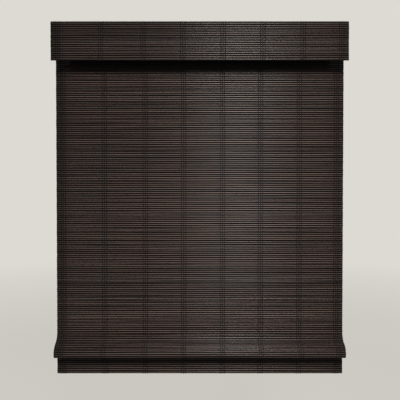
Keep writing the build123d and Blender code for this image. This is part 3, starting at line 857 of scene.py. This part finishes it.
# %% Metals
DRAWN_SCALE = (3.0, 2200.0, 2200.0)
DRAWN_CLOUD = 14.0
DRAWN_ALUMINIUM = shade(158, 156, 152), shade(198, 196, 192)
LINE_WEIGHT, DRAWN_CLOUD_WEIGHT = 0.6, 0.5
DRAWN_LIGHT = (0.3, 0.85)
DRAWN_ROUGHNESS = (0.3, 0.46)
DRAWN_BUMP = (0.00003, 0.4)

SPANGLE_SCALE = 420.0
ZINC_CLOUD = 60.0
ZINC = shade(150, 152, 154), shade(196, 197, 196)
SPANGLE_WEIGHT, ZINC_CLOUD_WEIGHT = 0.5, 0.6
ZINC_LIGHT = (0.25, 0.85)
ZINC_ROUGHNESS = (0.26, 0.44)
ZINC_BUMP = (0.00004, 0.3)


def aluminium_paint(wire):
    place = place_on(wire)
    lines = drawn_noise(wire, place, DRAWN_SCALE, *FINE_NOISE)
    cloud = noise(wire, place, DRAWN_CLOUD, *SOFT_NOISE)
    light = limits(wire, lines * LINE_WEIGHT + cloud * DRAWN_CLOUD_WEIGHT, *DRAWN_LIGHT)
    return {
        "Base Color": blend(wire, light, *DRAWN_ALUMINIUM),
        "Roughness": limits(wire, lines, *NOISE_RANGE, *DRAWN_ROUGHNESS),
        "Height": (lines, *DRAWN_BUMP),
    }


def zinc_paint(wire):
    place = place_on(wire)
    spangle = cells(wire, place, SPANGLE_SCALE)
    cloud = noise(wire, place, ZINC_CLOUD, *FINE_NOISE)
    light = limits(wire, spangle * SPANGLE_WEIGHT + cloud * ZINC_CLOUD_WEIGHT, *ZINC_LIGHT)
    return {
        "Base Color": blend(wire, light, *ZINC),
        "Roughness": limits(wire, cloud, *NOISE_RANGE, *ZINC_ROUGHNESS),
        "Height": (cloud, *ZINC_BUMP),
    }


gear_finishes = {
    "rail_metal": new_finish("drawn_aluminium", aluminium_paint, Metallic=1.0),
    "zinc_steel": new_finish("zinc_plated_steel", zinc_paint, Metallic=1.0),
}

# %% [markdown]
# Spools, cradles, rings and caps are moulded. A mould leaves a fine matt skin and hardly any
# change of colour. Each plastic could have a paint of its own, but they differ in their shades
# alone, so one helper makes the paint for any two shades.

# %% Moulded plastics
SKIN_SCALE = 2400.0
MOULD_CLOUD = 35.0
MOULD_CLOUD_WEIGHT = 0.4
SKIN_RANGE, SKIN_ROUGHNESS = (0.4, 1.0), (0.36, 0.56)
SKIN_BUMP = (0.00005, 0.35)


def moulded_paint(dark, light):
    """Fine matt skin of a moulded piece, between two shades."""

    def paint(wire):
        place = place_on(wire)
        skin = noise(wire, place, SKIN_SCALE, *SOFT_NOISE)
        cloud = noise(wire, place, MOULD_CLOUD, *SOFT_NOISE)
        gloss = skin + cloud * MOULD_CLOUD_WEIGHT
        return {
            "Base Color": blend(wire, limits(wire, cloud, *NOISE_RANGE), dark, light),
            "Roughness": limits(wire, gloss, *SKIN_RANGE, *SKIN_ROUGHNESS),
            "Height": (skin, *SKIN_BUMP),
        }

    return paint


plastics = {
    "white_plastic": ("white_plastic", shade(205, 202, 193), shade(222, 220, 212)),
    "dark_plastic": ("dark_plastic", shade(34, 28, 25), shade(48, 41, 37)),
    "clear_ring": ("ring_plastic", shade(206, 203, 194), shade(226, 224, 216)),
}
for slot, (name, dark, light) in plastics.items():
    gear_finishes[slot] = new_finish(name, moulded_paint(dark, light))

# %% [markdown]
# The batten and the bottom bar are stained softwood: growth rings drawn out along X, and short
# pores between them. The hook-and-loop tape is a pile of tiny loops. They could be modelled, but
# no one sees them behind the mat, so cells and fine noise stand in for them.

# %% Stained wood and tape
GROWTH_SCALE = (5.0, 190.0, 190.0)
GROWTH_NOISE = (4.0, 0.6)
PORE_SCALE = (60.0, 2200.0, 2200.0)
STAINED_WOOD = shade(38, 28, 23), shade(84, 66, 55)
GROWTH_WEIGHT, PORE_WEIGHT = 0.75, 0.35
WOOD_LIGHT = (0.3, 0.85)
WOOD_ROUGHNESS = (0.42, 0.6)
GROWTH_HEIGHT = 0.4
WOOD_BUMP = (0.00012, 0.5)
WOOD_SHINE = 0.4

LOOP_SCALE = 900.0
PILE_FUZZ = 1800.0
TAPE = shade(22, 18, 16), shade(58, 51, 47)
PILE_FUZZ_WEIGHT = 0.6
PILE_LIGHT = (0.3, 1.0)
PILE_ROUGHNESS = (0.85, 0.98)
PILE_BUMP = (0.0003, 0.8)
PILE_SHINE = 0.15


def wood_paint(wire):
    place = place_on(wire)
    growth = drawn_noise(wire, place, GROWTH_SCALE, *GROWTH_NOISE)
    pores = drawn_noise(wire, place, PORE_SCALE, *SOFT_NOISE)
    light = limits(wire, growth * GROWTH_WEIGHT + pores * PORE_WEIGHT, *WOOD_LIGHT)
    return {
        "Base Color": blend(wire, light, *STAINED_WOOD),
        "Roughness": limits(wire, pores, *NOISE_RANGE, *WOOD_ROUGHNESS),
        "Height": (growth * GROWTH_HEIGHT + pores, *WOOD_BUMP),
    }


def pile_paint(wire):
    place = place_on(wire)
    loops = cells(wire, place, LOOP_SCALE)
    fuzz = noise(wire, place, PILE_FUZZ, *FINE_NOISE)
    light = limits(wire, loops + fuzz * PILE_FUZZ_WEIGHT, *PILE_LIGHT)
    return {
        "Base Color": blend(wire, light, *TAPE),
        "Roughness": limits(wire, fuzz, *NOISE_RANGE, *PILE_ROUGHNESS),
        "Height": (loops + fuzz, *PILE_BUMP),
    }


gear_finishes |= {
    "batten_wood": new_finish("stained_wood", wood_paint, Specular_IOR_Level=WOOD_SHINE),
    "tape": new_finish("tape_pile", pile_paint, Specular_IOR_Level=PILE_SHINE),
}

# %% [markdown]
# Every node of the packed model has a material slot in its record. The finish is found by that
# name. It could be set piece by piece, but then one of the many small pieces is soon forgotten.

# %% Give the gear its finishes
slot_of = {part["node"]: part["material_slot"] for part in frame["record"]["subparts"]}
finished = [name for name in frame["nodes"] if slot_of[name] in gear_finishes]
for name in finished:
    node = frame["nodes"][name]
    node.data.materials.clear()
    node.data.materials.append(gear_finishes[slot_of[name]])
for ring in rings:
    ring.data.materials.append(gear_finishes["clear_ring"])
print(len(finished), "nodes and", len(rings), "sets of rings have a gear finish")

# %% [markdown]
# A pale floor and soft lamps stand in for a studio. Brighter lamps would whiten the background,
# but they would change the shade too. So the floor and the world answer two kinds of rays: those
# from the camera and from reflections meet one plain pale colour, and the light that spreads
# from surface to surface meets a quiet grey. The floor keeps a part of its own shading, and so
# the shade's shadow.

# %% Floor
FLOOR_DROP = 0.9
FLOOR_HALF = 30.0
PALE = shade(221, 218, 211)
QUIET = shade(130, 128, 124)
SHADOW_SHARE = 0.3
SHADOW_ENDS = (2.0, 9.0)


def seen_rays(wire):
    """1 for rays from the camera, from reflections and through glass, and 0 for others."""
    names = ("Is Camera Ray", "Is Glossy Ray", "Is Transmission Ray")
    seen, mirrored, through = (
        wire.node("ShaderNodeLightPath", None, None, out=name) for name in names
    )
    return wire.maths("MINIMUM", seen + mirrored + through, 1.0)


def mix_shaders(wire, share, first, second):
    """Mix two shaders by a share."""
    return wire.node("ShaderNodeMixShader", None, {0: share, 1: first, 2: second})


floor_z = float(cad_box[0][2]) - FLOOR_DROP
floor_mesh = bpy.data.meshes.new("floor")
floor_corners = FLOOR_HALF * np.array([(-1, -1), (1, -1), (1, 1), (-1, 1)])
floor_mesh.from_pydata([(x, y, floor_z) for x, y in floor_corners], [], [(0, 1, 2, 3)])
floor = bpy.data.objects.new("floor", floor_mesh)
bpy.context.collection.objects.link(floor)

pale_floor = bpy.data.materials.new("pale_floor")
pale_floor.use_nodes = True
pale_floor.node_tree.nodes.clear()
wire = Wire(pale_floor.node_tree)
plain = wire.node("ShaderNodeEmission", None, {"Color": PALE, "Strength": 1.0})
shaded = wire.node("ShaderNodeBsdfDiffuse", None, {"Color": PALE})
quiet = wire.node("ShaderNodeBsdfDiffuse", None, {"Color": QUIET})
measure = {"operation": "LENGTH"}
distance = wire.node("ShaderNodeVectorMath", measure, {0: place_on(wire)}, out="Value")
shadow_share = limits(wire, distance, *SHADOW_ENDS, SHADOW_SHARE, 0.0)
seen = mix_shaders(wire, shadow_share, plain, shaded)
surface = mix_shaders(wire, seen_rays(wire), quiet, seen)
wire.node("ShaderNodeOutputMaterial", None, {"Surface": surface}, None)
floor_mesh.materials.append(pale_floor)
print("floor at", round(floor_z, 3))

# %% [markdown]
# The world behind the floor has the same pale colour, so that no horizon shows. To the shade it
# is a weak, even light from all sides, which keeps the deepest shadows from going black.

# %% Backdrop
FILL_COLOUR = (1.0, 0.98, 0.95, 1.0)
FILL_STRENGTH = 0.13

world = bpy.data.worlds.new("studio")
bpy.context.scene.world = world
world.use_nodes = True
world.node_tree.nodes.clear()
wire = Wire(world.node_tree)
backdrop = wire.node("ShaderNodeBackground", None, {"Color": PALE, "Strength": 1.0})
fill_sockets = {"Color": FILL_COLOUR, "Strength": FILL_STRENGTH}
fill = wire.node("ShaderNodeBackground", None, fill_sockets)
surface = mix_shaders(wire, seen_rays(wire), fill, backdrop)
wire.node("ShaderNodeOutputWorld", None, {"Surface": surface}, None)
print("world with", len(world.node_tree.nodes), "nodes")

# %% [markdown]
# In the photo a soft light from high in the room leaves a dark band under the valance and
# another under the fold, and a faint bright streak right of the middle. One lamp above the
# camera, a little to the right, does all three. More lamps in front could even out the edges of
# the mat, but each of them adds a streak of its own. The beam is aimed at the tail, so that the
# foot of the mat, which is farther from the lamp, is as bright as the head. A second lamp,
# behind, shows the back.

# %% Lamps
LAMP_COLOUR = (1.0, 0.975, 0.945)
KEY_PLACE = (0.28, -1.75, 0.7)
KEY_AIM = (0.03, 0, -1.12)
KEY_SIZE, KEY_POWER, KEY_SPREAD = 0.55, 15.5, 80.0
BACK_PLACE = (-0.5, 2.2, 0.6)
BACK_AIM = (0, 0, -0.5)
BACK_SIZE, BACK_POWER, BACK_SPREAD = 1.6, 26.0, 180.0


def soft_lamp(name, place, aim, size, power, spread):
    """Square lamp at a place, turned to face a point, with a beam of spread degrees."""
    lamp = bpy.data.lights.new(name, "AREA")
    lamp.size = size
    lamp.energy = power
    lamp.color = LAMP_COLOUR
    lamp.spread = math.radians(spread)
    holder = bpy.data.objects.new(name, lamp)
    offset = np.array(aim) - np.array(place)
    tilt = math.acos(-offset[2] / np.linalg.norm(offset))
    holder.location = place
    holder.rotation_euler = (tilt, 0, math.atan2(-offset[0], offset[1]))
    bpy.context.collection.objects.link(holder)
    print("lamp", name, "leans", round(90 - math.degrees(tilt), 1), "degrees down")


soft_lamp("key", KEY_PLACE, KEY_AIM, KEY_SIZE, KEY_POWER, KEY_SPREAD)
soft_lamp("back_fill", BACK_PLACE, BACK_AIM, BACK_SIZE, BACK_POWER, BACK_SPREAD)

# %% [markdown]
# The camera stands where the edges of the valance, the fold and the tail fall on the rows and
# columns that they have in the photo. It could be placed by eye, but these edges are enough to
# solve for its height, its distance and its focal length, which is given in pixels of the photo.

# %% Camera
PHOTO_SIZE = 400
FOCAL_PIXELS = 447.8
HORIZON_ROW = 193.05
CAMERA_PLACE = (0.0007, -1.406, -0.5307)
SENSOR_WIDTH = 36.0
CLIP_START = 0.05

camera_data = bpy.data.cameras.new("camera")
camera_data.sensor_width = SENSOR_WIDTH
camera_data.lens = SENSOR_WIDTH * FOCAL_PIXELS / PHOTO_SIZE
camera_data.clip_start = CLIP_START
camera = bpy.data.objects.new("camera", camera_data)
pitch = math.atan((PHOTO_SIZE / 2 - HORIZON_ROW) / FOCAL_PIXELS)
camera.location = CAMERA_PLACE
camera.rotation_euler = (math.pi / 2 - pitch, 0, 0)
bpy.context.collection.objects.link(camera)
bpy.context.scene.camera = camera
bpy.context.scene.view_settings.view_transform = "Standard"
print("camera at", CAMERA_PLACE, "looking down", round(math.degrees(pitch), 2), "degrees")

# %% [markdown]
